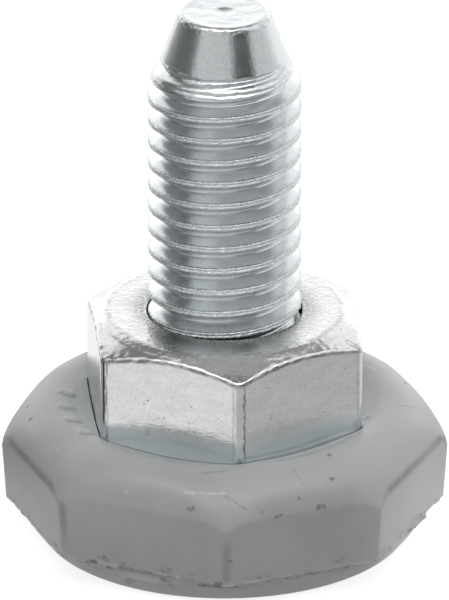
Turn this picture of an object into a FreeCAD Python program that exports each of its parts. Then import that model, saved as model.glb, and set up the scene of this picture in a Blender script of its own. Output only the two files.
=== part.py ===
"""Furniture leveling foot: an M10 stud, a hex nut and a moulded plastic foot.

Millimetres. +Z points up along the stud, and the origin is the centre of the foot
on the floor. "Front" is -Y, and angles round the axis run from the front towards +X.
"""
import FreeCAD, Part

import math
import os

# Thread, M10 coarse, right-hand: the crest is a little under nominal, as rolled and plated
PITCH = 1.5
MAJOR_D = 10.0
CREST_D = 9.82
ROOT_D = 8.16
FLANK_DEG = 30.0
ROOT_RADIUS = 0.2165
GROOVE_TOOL_R = 5.1
CREST_Z_AT_FRONT = 0.18

# Stud
STUD_LENGTH = 34.0
STUD_PROUD = 20.67
POINT_HEIGHT = 3.07
POINT_BASE_R = 4.0
POINT_TIP_R = 2.92
POINT_TIP_ROUND = 0.3
LEAD_IN_HEIGHT = 1.8
TAIL_CHAMFER = 0.8
DIMPLE_R = 0.72
DIMPLE_DEPTH = 0.13

# Hex nut for a 17 mm spanner
NUT_ACROSS_FLATS = 16.85
NUT_HEIGHT = 8.0
NUT_BOTTOM_Z = 7.2
NUT_TURN_DEG = 5.6
NUT_CHAMFER_CIRCLE_D = 15.3
NUT_CHAMFER_DEG = 30.0
NUT_CORNER_RADIUS = 0.64
NUT_BORE_D = 10.0
NUT_COUNTERSINK_D = 10.3
NUT_COUNTERSINK_DEG = 30.0

# Foot: an octagon that narrows downwards, on a round skirt and under a rounded shoulder.
# Its front corners aren't quite evenly spaced.
FOOT_CORNER_DEGS = (0.5, 43.9, 90, 135, 180, 225, 270, 312.6)
SHOULDER_Z = 5.74
SHOULDER_CORNER_R = 14.39
FACET_FOOT_Z = 1.95
FACET_FOOT_CORNER_R = 14.1
CORNER_SOFTNESS = 0.35
SKIRT_TOP_R = 13.0
SKIRT_MID_Z = 1.24
SKIRT_MID_R = 12.7
FLOOR_R = 11.86
FLOOR_EDGE_ROUND = 0.3

# Shoulder: each facet leans in above BAND_LOW_Z, and the corners follow a lathed curve.
# BAND_LEAN is how much the corner radius grows with each millimetre of height.
BAND_LOW_Z = 6.5
BAND_LEAN = -0.43
SHOULDER_MIDDLE_R = 13.45
SHOULDER_MIDDLE_Z = 7.3
CREST_START_R = 12.2
CREST_START_Z = 8.4
CREST_TOP_R = 11.0
CREST_TOP_Z = 8.8
RIM_R = 9.6
RIM_Z = 8.5
LIP_R = 8.4
LIP_Z = 8.1

# Inside and underside of the foot
POCKET_GAP = 0.05
STUD_WELL_R = 5.3
STUD_WELL_BOTTOM_Z = 1.7
CORE_OUTER_R = 10.0
CORE_INNER_R = 7.1
CORE_DEPTH = 4.2
RIB_COUNT = 8
RIB_THICKNESS = 1.1
RIB_FOOT_Z = 0.5

# How far tools and trimming outlines reach past the faces they cut, and what counts as level
OVERCUT = 1.0
OUTLINE_MARGIN = 0.5
SHOULDER_MARGIN = 0.01
LEVEL_TOLERANCE = 1e-6

HEX_CORNER_DEGS = [NUT_TURN_DEG + 60 * i for i in range(6)]
NUT_CORNER_R = NUT_ACROSS_FLATS / 2 / math.cos(math.radians(30))
NUT_TOP_Z = NUT_BOTTOM_Z + NUT_HEIGHT
STUD_TOP_Z = NUT_TOP_Z + STUD_PROUD
STUD_BOTTOM_Z = STUD_TOP_Z - STUD_LENGTH
UP = FreeCAD.Vector(0, 0, 1)
CENTRE = FreeCAD.Vector(0, 0, 0)


def at(radius, z):
    """A point of a lathe profile, in the XZ plane."""
    return FreeCAD.Vector(radius, 0, z)


def lathe(edges):
    """The solid swept by a closed profile of edges turning round the Z axis."""
    face = Part.Face(Part.Wire(edges))
    return face.revolve(CENTRE, UP, 360)


def lathe_polygon(points):
    """A lathed solid with straight sides, from (radius, z) pairs."""
    corners = [at(radius, z) for radius, z in points]
    return lathe(Part.makePolygon(corners + corners[:1]).Edges)


def polygon_section(corner_degs, corner_radius, z):
    """A closed polygon at height z, with its corners at angles from the front."""
    corners = []
    for degrees in corner_degs:
        angle = math.radians(degrees)
        x = corner_radius * math.sin(angle)
        y = -corner_radius * math.cos(angle)
        corners.append(FreeCAD.Vector(x, y, z))
    return Part.makePolygon(corners + corners[:1])


def soften_uprights(solid, radius):
    """Round the edges that climb from one polygon section to the next."""
    uprights = []
    for edge in solid.Edges:
        start, end = (vertex.Point for vertex in edge.Vertexes)
        if abs(end.z - start.z) > LEVEL_TOLERANCE:
            uprights.append(edge)
    return solid.makeFillet(radius, uprights)


def hex_prism(corner_radius, z_low, z_high):
    """A hexagonal prism set at the nut's own angle."""
    section = polygon_section(HEX_CORNER_DEGS, corner_radius, z_low)
    return Part.Face(section).extrude(FreeCAD.Vector(0, 0, z_high - z_low))


def groove_half_width(radius):
    """Half the width of the thread groove at a radius, along the axis."""
    at_major = (PITCH - PITCH / 8) / 2
    return at_major - (MAJOR_D / 2 - radius) * math.tan(math.radians(FLANK_DEG))


def groove_profile(z):
    """The cross-section cut between two crests, centred on height z: flanks and a round root."""
    root_r = ROOT_D / 2
    tangent_r = root_r + ROOT_RADIUS * (1 - math.sin(math.radians(FLANK_DEG)))
    outer = groove_half_width(GROOVE_TOOL_R)
    inner = groove_half_width(tangent_r)
    top = at(GROOVE_TOOL_R, z + outer)
    top_tangent = at(tangent_r, z + inner)
    low_tangent = at(tangent_r, z - inner)
    low = at(GROOVE_TOOL_R, z - outer)
    root = Part.Arc(top_tangent, at(root_r, z), low_tangent).toShape()
    edges = [
        Part.makeLine(top, top_tangent),
        root,
        Part.makeLine(low_tangent, low),
        Part.makeLine(low, top),
    ]
    return Part.Wire(edges)


def groove_start_z():
    """Height of a groove centre on the +X side, just below the stud's lower end."""
    quarter_turn = PITCH / 4
    centre = NUT_TOP_Z + CREST_Z_AT_FRONT + PITCH / 2 + quarter_turn
    turns_down = math.ceil((centre - STUD_BOTTOM_Z) / PITCH) + 1
    return centre - turns_down * PITCH


def thread_groove():
    """The helical tool that leaves the thread standing on the stud."""
    start = groove_start_z()
    turns = math.ceil((STUD_TOP_Z - start) / PITCH)
    spine = Part.makeHelix(PITCH, turns * PITCH, CREST_D / 2)
    spine.translate(FreeCAD.Vector(0, 0, start))
    return Part.Wire(spine.Edges).makePipeShell([groove_profile(start)], True, True)


def stud_outline():
    """The lathed outline that trims the threaded bar: tail chamfer, lead-in and blunt point."""
    crest_r = CREST_D / 2
    clear_r = crest_r + OUTLINE_MARGIN
    point_z = STUD_TOP_Z - POINT_HEIGHT
    lead_in_slope = LEAD_IN_HEIGHT / (crest_r - POINT_BASE_R)
    point_slope = (POINT_BASE_R - POINT_TIP_R) / POINT_HEIGHT
    round_low = at(POINT_TIP_R + point_slope * POINT_TIP_ROUND, STUD_TOP_Z - POINT_TIP_ROUND)
    round_top = at(POINT_TIP_R - POINT_TIP_ROUND, STUD_TOP_Z)
    bulge = POINT_TIP_ROUND * (1 - math.sqrt(0.5))
    round_middle = at(POINT_TIP_R - bulge, STUD_TOP_Z - bulge)
    corners = [
        at(0, STUD_BOTTOM_Z),
        at(crest_r - TAIL_CHAMFER, STUD_BOTTOM_Z),
        at(clear_r, STUD_BOTTOM_Z + TAIL_CHAMFER + clear_r - crest_r),
        at(clear_r, point_z - (clear_r - POINT_BASE_R) * lead_in_slope),
        at(POINT_BASE_R, point_z),
        round_low,
    ]
    edges = Part.makePolygon(corners).Edges
    edges.append(Part.Arc(round_low, round_middle, round_top).toShape())
    edges += Part.makePolygon([round_top, at(0, STUD_TOP_Z), at(0, STUD_BOTTOM_Z)]).Edges
    return lathe(edges)


def end_dimple():
    """The shallow centre mark in the stud's end face."""
    return lathe_polygon(
        [
            (0, STUD_TOP_Z - DIMPLE_DEPTH),
            (DIMPLE_R / 2, STUD_TOP_Z - DIMPLE_DEPTH),
            (DIMPLE_R, STUD_TOP_Z),
            (DIMPLE_R, STUD_TOP_Z + OVERCUT),
            (0, STUD_TOP_Z + OVERCUT),
        ]
    )


def threaded_stud():
    """The steel stud: a bar with a rolled thread, trimmed to its outline."""
    bar = Part.makeCylinder(CREST_D / 2, STUD_LENGTH, FreeCAD.Vector(0, 0, STUD_BOTTOM_Z))
    return bar.cut(thread_groove()).common(stud_outline()).cut(end_dimple())


def chamfer_rise(radius, circle_r, slope_deg):
    """How far a cone that starts at a circle has risen by a radius."""
    return (radius - circle_r) * math.tan(math.radians(slope_deg))


def nut_envelope():
    """The lathed outline that chamfers the nut's corners at both faces."""
    circle_r = NUT_CHAMFER_CIRCLE_D / 2
    outer_r = NUT_CORNER_R + OUTLINE_MARGIN
    rise = chamfer_rise(outer_r, circle_r, NUT_CHAMFER_DEG)
    return lathe_polygon(
        [
            (0, NUT_BOTTOM_Z),
            (circle_r, NUT_BOTTOM_Z),
            (outer_r, NUT_BOTTOM_Z + rise),
            (outer_r, NUT_TOP_Z - rise),
            (circle_r, NUT_TOP_Z),
            (0, NUT_TOP_Z),
        ]
    )


def nut_bore():
    """The nut's hole, at the major diameter of its thread, with a countersink at each face."""
    bore_r = NUT_BORE_D / 2
    sink_r = NUT_COUNTERSINK_D / 2
    depth = chamfer_rise(sink_r, bore_r, NUT_COUNTERSINK_DEG)
    return lathe_polygon(
        [
            (0, NUT_BOTTOM_Z - OVERCUT),
            (sink_r, NUT_BOTTOM_Z - OVERCUT),
            (sink_r, NUT_BOTTOM_Z),
            (bore_r, NUT_BOTTOM_Z + depth),
            (bore_r, NUT_TOP_Z - depth),
            (sink_r, NUT_TOP_Z),
            (sink_r, NUT_TOP_Z + OVERCUT),
            (0, NUT_TOP_Z + OVERCUT),
        ]
    )


def hex_nut():
    """The steel nut whose lower end sits in the foot."""
    prism = hex_prism(NUT_CORNER_R, NUT_BOTTOM_Z, NUT_TOP_Z)
    prism = soften_uprights(prism, NUT_CORNER_RADIUS)
    return prism.common(nut_envelope()).cut(nut_bore())


def facet_corner_r(z):
    """Corner radius of the octagon at a height."""
    lean = (SHOULDER_CORNER_R - FACET_FOOT_CORNER_R) / (SHOULDER_Z - FACET_FOOT_Z)
    return FACET_FOOT_CORNER_R + (z - FACET_FOOT_Z) * lean


def band_corner_r(z):
    """Corner radius of the leaning planes above the facets, at a height."""
    return facet_corner_r(BAND_LOW_Z) + (z - BAND_LOW_Z) * BAND_LEAN


def octagon_frustum(corner_r, low_z, high_z):
    """An octagonal block whose corner radius changes evenly with height."""
    low = polygon_section(FOOT_CORNER_DEGS, corner_r(low_z), low_z)
    high = polygon_section(FOOT_CORNER_DEGS, corner_r(high_z), high_z)
    return soften_uprights(Part.makeLoft([low, high], True, True), CORNER_SOFTNESS)


def octagon_block():
    """The eight finger facets, and the planes that lean in above them."""
    top_z = CREST_TOP_Z + OVERCUT
    facets = octagon_frustum(facet_corner_r, 0, top_z)
    band = octagon_frustum(band_corner_r, 0, top_z)
    return facets.common(band)


def foot_lathe():
    """Skirt, ledge under the facet corners, rounded shoulder and the dip down to the nut."""
    ledge_r = SHOULDER_CORNER_R + SHOULDER_MARGIN
    shoulder_low = at(ledge_r, SHOULDER_Z)
    crest_start = at(CREST_START_R, CREST_START_Z)
    rim = at(RIM_R, RIM_Z)
    corners = [
        at(0, 0),
        at(FLOOR_R - FLOOR_EDGE_ROUND, 0),
        at(FLOOR_R, FLOOR_EDGE_ROUND / 2),
        at(SKIRT_MID_R, SKIRT_MID_Z),
        at(SKIRT_TOP_R, FACET_FOOT_Z),
        at(ledge_r, FACET_FOOT_Z),
        shoulder_low,
    ]
    edges = Part.makePolygon(corners).Edges
    shoulder_middle = at(SHOULDER_MIDDLE_R, SHOULDER_MIDDLE_Z)
    crest_top = at(CREST_TOP_R, CREST_TOP_Z)
    edges.append(Part.Arc(shoulder_low, shoulder_middle, crest_start).toShape())
    edges.append(Part.Arc(crest_start, crest_top, rim).toShape())
    inner = [rim, at(LIP_R, LIP_Z), at(0, LIP_Z), at(0, 0)]
    edges += Part.makePolygon(inner).Edges
    return lathe(edges)


def underside_core():
    """The ring-shaped hollow under the foot, between the rim and the boss."""
    below = FreeCAD.Vector(0, 0, -OVERCUT)
    outer = Part.makeCylinder(CORE_OUTER_R, CORE_DEPTH + OVERCUT, below)
    inner = Part.makeCylinder(CORE_INNER_R, CORE_DEPTH + OVERCUT, below)
    hollow = outer.cut(inner)
    for i in range(RIB_COUNT):
        corner = FreeCAD.Vector(0, -RIB_THICKNESS / 2, RIB_FOOT_Z)
        rib = Part.makeBox(CORE_OUTER_R + OVERCUT, RIB_THICKNESS, CORE_DEPTH, corner)
        rib.rotate(CENTRE, UP, 360.0 * i / RIB_COUNT)
        hollow = hollow.cut(rib)
    return hollow


def foot_body():
    """The plastic foot, moulded round the nut's lower end."""
    body = octagon_block().common(foot_lathe())
    pocket_corner_r = NUT_CORNER_R + POCKET_GAP / math.cos(math.radians(30))
    pocket = hex_prism(pocket_corner_r, NUT_BOTTOM_Z, CREST_TOP_Z)
    well_height = NUT_BOTTOM_Z + OVERCUT - STUD_WELL_BOTTOM_Z
    well = Part.makeCylinder(STUD_WELL_R, well_height, FreeCAD.Vector(0, 0, STUD_WELL_BOTTOM_Z))
    return body.cut(pocket).cut(well).cut(underside_core())


def export(name, shape):
    """Write one named sub-part as a STEP file, and stop if it isn't one sound solid."""
    solids = shape.Solids
    if len(solids) != 1 or not solids[0].isValid():
        raise RuntimeError(f"{name} is not one valid solid")
    solids[0].exportStep(os.path.join("parts", name + ".step"))
    print(name, round(solids[0].Volume, 2), "mm3")


os.makedirs("parts", exist_ok=True)
export("threaded_stud", threaded_stud())
export("hex_nut", hex_nut())
export("foot_body", foot_body())
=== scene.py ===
import math
from functools import reduce

import bmesh
import bpy
import numpy as np
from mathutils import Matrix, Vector, noise


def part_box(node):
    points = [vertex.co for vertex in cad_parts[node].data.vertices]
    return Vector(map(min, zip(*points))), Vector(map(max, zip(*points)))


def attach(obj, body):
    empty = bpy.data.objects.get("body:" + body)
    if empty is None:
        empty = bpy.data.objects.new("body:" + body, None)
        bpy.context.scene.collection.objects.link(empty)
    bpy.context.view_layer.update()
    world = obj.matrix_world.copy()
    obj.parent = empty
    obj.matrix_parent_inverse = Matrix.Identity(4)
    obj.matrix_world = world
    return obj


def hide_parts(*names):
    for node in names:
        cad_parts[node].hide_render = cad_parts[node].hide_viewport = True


# Looks for the furniture leveling foot: threaded stud, hex nut and moulded foot.
# Shapes are worked out in millimetres in the CAD frame and scaled to metres when a mesh is made.
# Angles round the axis run from the front (-Y) towards +X.

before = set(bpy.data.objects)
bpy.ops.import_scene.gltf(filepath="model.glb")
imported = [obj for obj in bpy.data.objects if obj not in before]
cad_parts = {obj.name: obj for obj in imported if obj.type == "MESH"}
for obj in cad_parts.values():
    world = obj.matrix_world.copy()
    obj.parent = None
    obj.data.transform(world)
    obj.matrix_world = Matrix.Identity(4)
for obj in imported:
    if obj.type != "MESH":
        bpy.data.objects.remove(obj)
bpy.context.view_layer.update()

MM = 0.001
TURN = 2 * math.pi

# The dents and ripples of the nut and foot fall in the same places every time
DENT_SEED = 7
noise.seed_set(DENT_SEED)


def span(name):
    """Lowest and highest corner of a CAD node in millimetres."""
    low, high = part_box(name)
    return low / MM, high / MM


STUD_LOW, STUD_HIGH = span("threaded_stud")
NUT_LOW, NUT_HIGH = span("hex_nut")
FOOT_LOW, _ = span("foot_body")

# Thread
PITCH = 1.5
MAJOR_R = 5.0
CREST_R = 4.91
ROOT_R = 4.08
ROOT_ROUND = 0.2165
FLANK_TAN = math.tan(math.radians(30))
CREST_AT_FRONT = 0.18
CREST_SOFTNESS = 0.03
SEAM_DEPTH = 0.05
SEAM_HALF = 0.045
TOOL_MARK_PITCH = 0.34
TOOL_MARK_DEPTH = 0.022
CREST_WEAR = 0.04
RUN_OUT_WEAR = 0.03
RIM_WEAR = 0.06
THREAD_COLUMNS = 300

# Stud ends
POINT_HEIGHT = 3.07
POINT_BASE_R = 4.0
POINT_TIP_R = 2.92
LEAD_IN_HEIGHT = 1.8
LEAD_IN_SOFTNESS = 0.05
RUN_OUT_DEPTH = 0.22
TIP_CUT = 0.28
TAIL_CHAMFER = 0.8
DIMPLE_R = 0.72
DIMPLE_DEPTH = 0.13

# Nut
ACROSS_FLATS = 16.85
NUT_TURN = math.radians(5.6)
NUT_CORNER_ROUND = 0.64
CHAMFER_CIRCLE_R = 7.65
CHAMFER_TAN = math.tan(math.radians(30))
BORE_R = 5.0
SINK_R = 5.15
SINK_TAN = math.tan(math.radians(30))
NUT_EDGE_CUT = 0.17
NUT_EDGE_WEAR = 0.045
NUT_COLUMNS = 432

# Foot
EIGHTH = TURN / 8
CORNER_ANGLES = [0.5, 43.9, 90, 135, 180, 225, 270, 312.6]
SHOULDER_Z = 5.74
SHOULDER_CORNER_R = 14.39
LEDGE_Z = 1.95
LEDGE_CORNER_R = 14.1
FACET_FOOT = 0.12
FACET_LEAN = (SHOULDER_CORNER_R - LEDGE_CORNER_R) / (SHOULDER_Z - LEDGE_Z)
BAND_LOW_Z = 6.5
BAND_LEAN = -0.43
FACETS_AT_ZERO = LEDGE_CORNER_R - FACET_LEAN * LEDGE_Z
BAND_AT_ZERO = FACETS_AT_ZERO + (FACET_LEAN - BAND_LEAN) * BAND_LOW_Z
SHOULDER_MIDDLE = (13.45, 7.3)
CREST_START = (12.2, 8.4)
CREST_TOP = (11.0, 8.8)
RIM = (9.6, 8.5)
LIP = (8.4, 8.1)
SKIRT_TOP_R = 13.0
SKIRT_MID = (12.7, 1.24)
FLOOR_R = 11.86
POCKET_GAP = 0.05
WELL_R = 5.3
WELL_BOTTOM_Z = 1.7
CORE_OUTER_R = 10.0
CORE_INNER_R = 7.1
CORE_DEPTH = 4.2
RIB_FOOT_Z = 0.5
RIB_THICKNESS = 1.1
CORNER_SOFTNESS = 0.13
FACET_SOFTNESS = 0.08
BAND_SOFTNESS = 0.32
CREASE_DEPTH = 0.06
CREASE_HALF = 0.08
# Half width of the painted shade along the creases
CREASE_SHADE_HALF = 0.15
FLASH = 0.05
FLASH_RAGGED = 0.11
BURR = 0.24
FOOT_COLUMNS = 576
RAY_CENTRE = (9.0, 5.0)
PIP_ANGLES = (-60, -72, -84, -96)
PIP_RING_R = 10.2
PIP_HEIGHT = 0.11


# ---------------- mesh helpers


def soft_min(a, b, width):
    """The smaller of two values, with the corner between them rounded over a width."""
    share = np.clip(0.5 + 0.5 * (b - a) / width, 0, 1)
    return b + (a - b) * share - width * share * (1 - share)


def smooth_step(value, low, high):
    """0 below low, 1 above high, and a smooth climb between."""
    t = np.clip((value - low) / (high - low), 0, 1)
    return t * t * (3 - 2 * t)


def smooth_window(value, low, full, end, gone):
    """1 between full and end, with smooth falls to 0 at low and gone."""
    return smooth_step(value, low, full) * (1 - smooth_step(value, end, gone))


def around(points):
    """Distance from the axis and angle round it, for an array of points."""
    return np.hypot(points[:, 0], points[:, 1]), np.arctan2(points[:, 0], -points[:, 1])


def signed_degrees(angle):
    """An angle in degrees between -180 and 180."""
    return np.degrees((angle + math.pi) % TURN - math.pi)


def ring(radius, z, angle):
    """One ring of points; radius and z may be numbers or one value for each angle."""
    radius = radius + 0 * angle
    z = z + 0 * angle
    return np.stack([radius * np.sin(angle), -radius * np.cos(angle), z], axis=1)


def columns(count, start=0.0):
    """Even angles round the axis."""
    return start + np.arange(count) * TURN / count


def bend(start, corner, end, t):
    """The point at t on a parabola that rounds a corner."""
    return (1 - t) ** 2 * start + 2 * t * (1 - t) * corner + t ** 2 * end


def section_rings(angle, corners, closed=False):
    """Rings along a section given as corners (radius, z, cut, rows).

    Each corner is rounded over its cut, and rows rings fill the straight run that follows it.
    """
    points = [np.stack([r + 0 * angle, z + 0 * angle]) for r, z, _, _ in corners]
    cuts = [cut for _, _, cut, _ in corners]
    count = len(corners)

    def leave(i, towards):
        run = points[towards % count] - points[i % count]
        return points[i % count] + cuts[i % count] * run / np.linalg.norm(run, axis=0)

    rings = []
    for i, (_, _, cut, rows) in enumerate(corners):
        first = not closed and i == 0
        last = not closed and i == count - 1
        if cut and not first and not last:
            start, end = leave(i, i - 1), leave(i, i + 1)
            rings += [bend(start, points[i], end, t) for t in np.linspace(0, 1, 5)]
        else:
            end = points[i]
            rings.append(end)
        if last:
            break
        following = (i + 1) % count
        rounded = cuts[following] and (closed or i + 1 < count - 1)
        goal = leave(i + 1, i) if rounded else points[following]
        for k in range(1, rows + 1):
            rings.append(end + (goal - end) * k / (rows + 1))
    return [ring(r, z, angle) for r, z in rings]


def quads_between(first, second, count):
    """Faces between two rings of the same count, given the index of each ring's first point."""
    faces = []
    for j in range(count):
        k = (j + 1) % count
        faces.append((first + j, first + k, second + k, second + j))
    return faces


def piece_from(name, points, faces, material, node, body):
    """A smooth closed mesh that stands for a CAD node and rides on its body."""
    mesh = bpy.data.meshes.new(name)
    mesh.from_pydata((np.asarray(points) * MM).tolist(), [], faces)
    work = bmesh.new()
    work.from_mesh(mesh)
    bmesh.ops.remove_doubles(work, verts=work.verts, dist=1e-6)
    bmesh.ops.dissolve_degenerate(work, edges=work.edges, dist=1e-7)
    bmesh.ops.recalc_face_normals(work, faces=work.faces)
    work.to_mesh(mesh)
    work.free()
    mesh.shade_smooth()
    mesh.materials.append(material)
    piece = bpy.data.objects.new(name, mesh)
    bpy.context.scene.collection.objects.link(piece)
    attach(piece, body)
    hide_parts(node)
    return piece


def faces_of_rings(rings, closed=False):
    """Points and faces of a stack of rings; a ring of one point is a pole."""
    points = np.concatenate(rings)
    starts = np.cumsum([0] + [len(r) for r in rings])
    pairs = list(zip(range(len(rings) - 1), range(1, len(rings))))
    if closed:
        pairs.append((len(rings) - 1, 0))
    faces = []
    for a, b in pairs:
        size_a, size_b = len(rings[a]), len(rings[b])
        if size_a == size_b:
            faces += quads_between(starts[a], starts[b], size_a)
            continue
        pole, loop, size = (starts[a], starts[b], size_b) if size_a == 1 else (starts[b], starts[a], size_a)
        faces += [(pole, loop + j, loop + (j + 1) % size) for j in range(size)]
    return points, faces


def pole(z):
    """A single point on the axis."""
    return np.array([[0.0, 0.0, z]])


def wander(points, size, amount):
    """Points moved by smooth noise of a given feature size, in millimetres."""
    shift = [noise.noise_vector(Vector(p) / size) for p in points]
    return points + amount * np.array(shift)


# ---------------- stud


def thread_radius(offset):
    """Radius of the thread at an axial offset from a groove's centre."""
    across = np.abs((offset + PITCH / 2) % PITCH - PITCH / 2)
    root_half = ROOT_ROUND * math.cos(math.radians(30))
    root = ROOT_R + ROOT_ROUND - np.sqrt(np.maximum(ROOT_ROUND ** 2 - across ** 2, 0))
    flank = MAJOR_R - ((PITCH - PITCH / 8) / 2 - across) / FLANK_TAN
    seam = SEAM_DEPTH * np.exp(-((PITCH / 2 - across) / SEAM_HALF) ** 2)
    return soft_min(np.where(across < root_half, root, flank), CREST_R, CREST_SOFTNESS) - seam


def outline_radius(z):
    """Radius of the stud's lathed outline: tail chamfer, lead-in and blunt point."""
    top, bottom = STUD_HIGH.z, STUD_LOW.z
    point_z = top - POINT_HEIGHT
    point = POINT_TIP_R + (top - z) * (POINT_BASE_R - POINT_TIP_R) / POINT_HEIGHT
    lead_in = POINT_BASE_R + (point_z - z) * (CREST_R - POINT_BASE_R) / LEAD_IN_HEIGHT
    tail = CREST_R - TAIL_CHAMFER + (z - bottom)
    return np.minimum(np.where(z > point_z, point, lead_in), tail)


def stud_rows():
    """Axial offsets of the mesh rows over one pitch, closest together at the crest's edges and the root."""
    root_half = ROOT_ROUND * math.cos(math.radians(30))
    crest_edge = (PITCH - PITCH / 8) / 2 - (MAJOR_R - CREST_R) * FLANK_TAN
    half = np.concatenate(
        [
            np.linspace(0, root_half, 4, endpoint=False),
            np.linspace(root_half, crest_edge - 0.05, 5, endpoint=False),
            np.linspace(crest_edge - 0.05, crest_edge + 0.04, 5, endpoint=False),
            np.linspace(crest_edge + 0.04, PITCH / 2, 5, endpoint=False),
        ]
    )
    return np.concatenate([half, PITCH - half[1:][::-1], [PITCH / 2]])


def stud_thread():
    """The threaded length and the point's cone, as rows that climb with the thread."""
    low, high = STUD_LOW.z, STUD_HIGH.z - TIP_CUT
    row_offsets = np.sort(stud_rows())
    per_pitch = len(row_offsets)
    groove_front = NUT_HIGH.z + CREST_AT_FRONT + PITCH / 2
    below = math.ceil((groove_front - low) / PITCH) + 1
    pitches = math.ceil((high - low) / PITCH) + 3
    start = groove_front - below * PITCH
    rows = np.concatenate([start + i * PITCH + row_offsets for i in range(pitches)])
    angle = columns(THREAD_COLUMNS)
    z = rows[:, None] + PITCH * angle[None, :] / TURN
    thread = thread_radius(z - PITCH * angle[None, :] / TURN - groove_front)
    z = np.clip(z, low, high)
    point_z = STUD_HIGH.z - POINT_HEIGHT
    run_out = smooth_window(z, point_z - 1.6, point_z - 0.5, point_z - 0.1, point_z + 0.06)
    thread = thread - RUN_OUT_DEPTH * run_out
    radius = soft_min(thread, outline_radius(z), LEAD_IN_SOFTNESS)
    points = np.stack([radius * np.sin(angle), -radius * np.cos(angle), z], axis=2)
    faces = []
    total = len(rows)
    for i in range(total - 1):
        for j in range(THREAD_COLUMNS):
            if j < THREAD_COLUMNS - 1:
                a, b = i * THREAD_COLUMNS + j, i * THREAD_COLUMNS + j + 1
            else:
                if i + per_pitch + 1 >= total:
                    continue
                a, b = i * THREAD_COLUMNS + j, (i + per_pitch) * THREAD_COLUMNS
            if z[i, j] >= high and z[i, (j + 1) % THREAD_COLUMNS] >= high:
                continue
            faces.append((a, b, b + THREAD_COLUMNS, a + THREAD_COLUMNS))
    return points.reshape(-1, 3), faces, radius[-1], radius[0]


def hammered(points, x_scale, z_scale, lift=0.0):
    """Noise between -1 and 1 with features of about 1 / scale millimetres; lift picks another pattern."""
    moved = points * (x_scale, x_scale, z_scale) + (0, 0, lift)
    return np.array([noise.noise(Vector(p)) for p in moved])


def stud_wear(points):
    """The stud's points with ragged crests, a battered run-out and a dented end face."""
    top = STUD_HIGH.z
    point_z = top - POINT_HEIGHT
    radius, turn = around(points)
    height = points[:, 2]
    crest = smooth_step(radius, CREST_R - 0.19, CREST_R - 0.03)
    run_out = smooth_window(height, point_z - 1.5, point_z - 0.9, point_z, point_z + 0.1)
    rim = smooth_step(height, top - 0.5, top - 0.15) * smooth_step(radius, 1.9, 2.4)
    strength = np.maximum(np.maximum(CREST_WEAR * crest, RUN_OUT_WEAR * run_out), RIM_WEAR * rim)
    push = strength * (0.7 * hammered(points, 2.2, 7.0) + 0.5 * hammered(points, 5.0, 9.0))
    push += TOOL_MARK_DEPTH * run_out * np.sin(TURN * height / TOOL_MARK_PITCH - turn)
    worn = points.copy()
    worn[:, :2] *= (1 + push / np.maximum(radius, 0.5))[:, None]
    face = smooth_step(height, top - 0.3, top - 0.12) * (1 - smooth_step(radius, 2.2, 2.7))
    dents = 0.025 * hammered(points, 1.1, 1.0) + 0.009 * hammered(points, 3.0, 1.0)
    worn[:, 2] += face * (dents - 0.03)
    worn[:, 2] = np.minimum(worn[:, 2], top)
    return worn


def stud_piece(material):
    """The steel stud with a rolled thread."""
    points, faces, top_r, low_r = stud_thread()
    angle = columns(THREAD_COLUMNS)
    top = STUD_HIGH.z
    tip = []
    for t in np.linspace(0, 1, 7):
        radius = bend(top_r, POINT_TIP_R, POINT_TIP_R - TIP_CUT, t)
        tip.append(ring(radius, bend(top - TIP_CUT, top, top, t), angle))
    tip += [ring(POINT_TIP_R * share, top, angle) for share in np.linspace(0.88, 0.28, 22)]
    for share in np.linspace(1, 0.1, 10):
        tip.append(ring(DIMPLE_R * share, top - DIMPLE_DEPTH * (1 - share ** 2), angle))
    tip.append(pole(top - DIMPLE_DEPTH))
    tail = [ring(low_r * share, STUD_LOW.z, angle) for share in (1, 0.6, 0.25)] + [pole(STUD_LOW.z)]
    all_points, all_faces, base = [], [], 0
    for group_points, group_faces in ((points, faces), faces_of_rings(tip), faces_of_rings(tail)):
        all_points.append(group_points)
        all_faces += [tuple(v + base for v in f) for f in group_faces]
        base += len(group_points)
    worn = stud_wear(np.concatenate(all_points))
    return piece_from("rolled_thread_stud", worn, all_faces, material, "threaded_stud", "stud")


# ---------------- nut


def hex_radius(angle, half_flats, corner_round):
    """Radius of a hexagon with rounded corners, one corner NUT_TURN from the front."""
    sixth = TURN / 6
    from_face = np.abs((angle - NUT_TURN) % sixth - sixth / 2)
    from_corner = sixth / 2 - from_face
    centre = (half_flats - corner_round) / math.cos(sixth / 2)
    tangent = math.atan(centre * math.sin(sixth / 2) / half_flats)
    reach = np.maximum(corner_round ** 2 - (centre * np.sin(from_corner)) ** 2, 0)
    rounded = centre * np.cos(from_corner) + np.sqrt(reach)
    return np.where(from_face > tangent, rounded, half_flats / np.cos(from_face))


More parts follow.
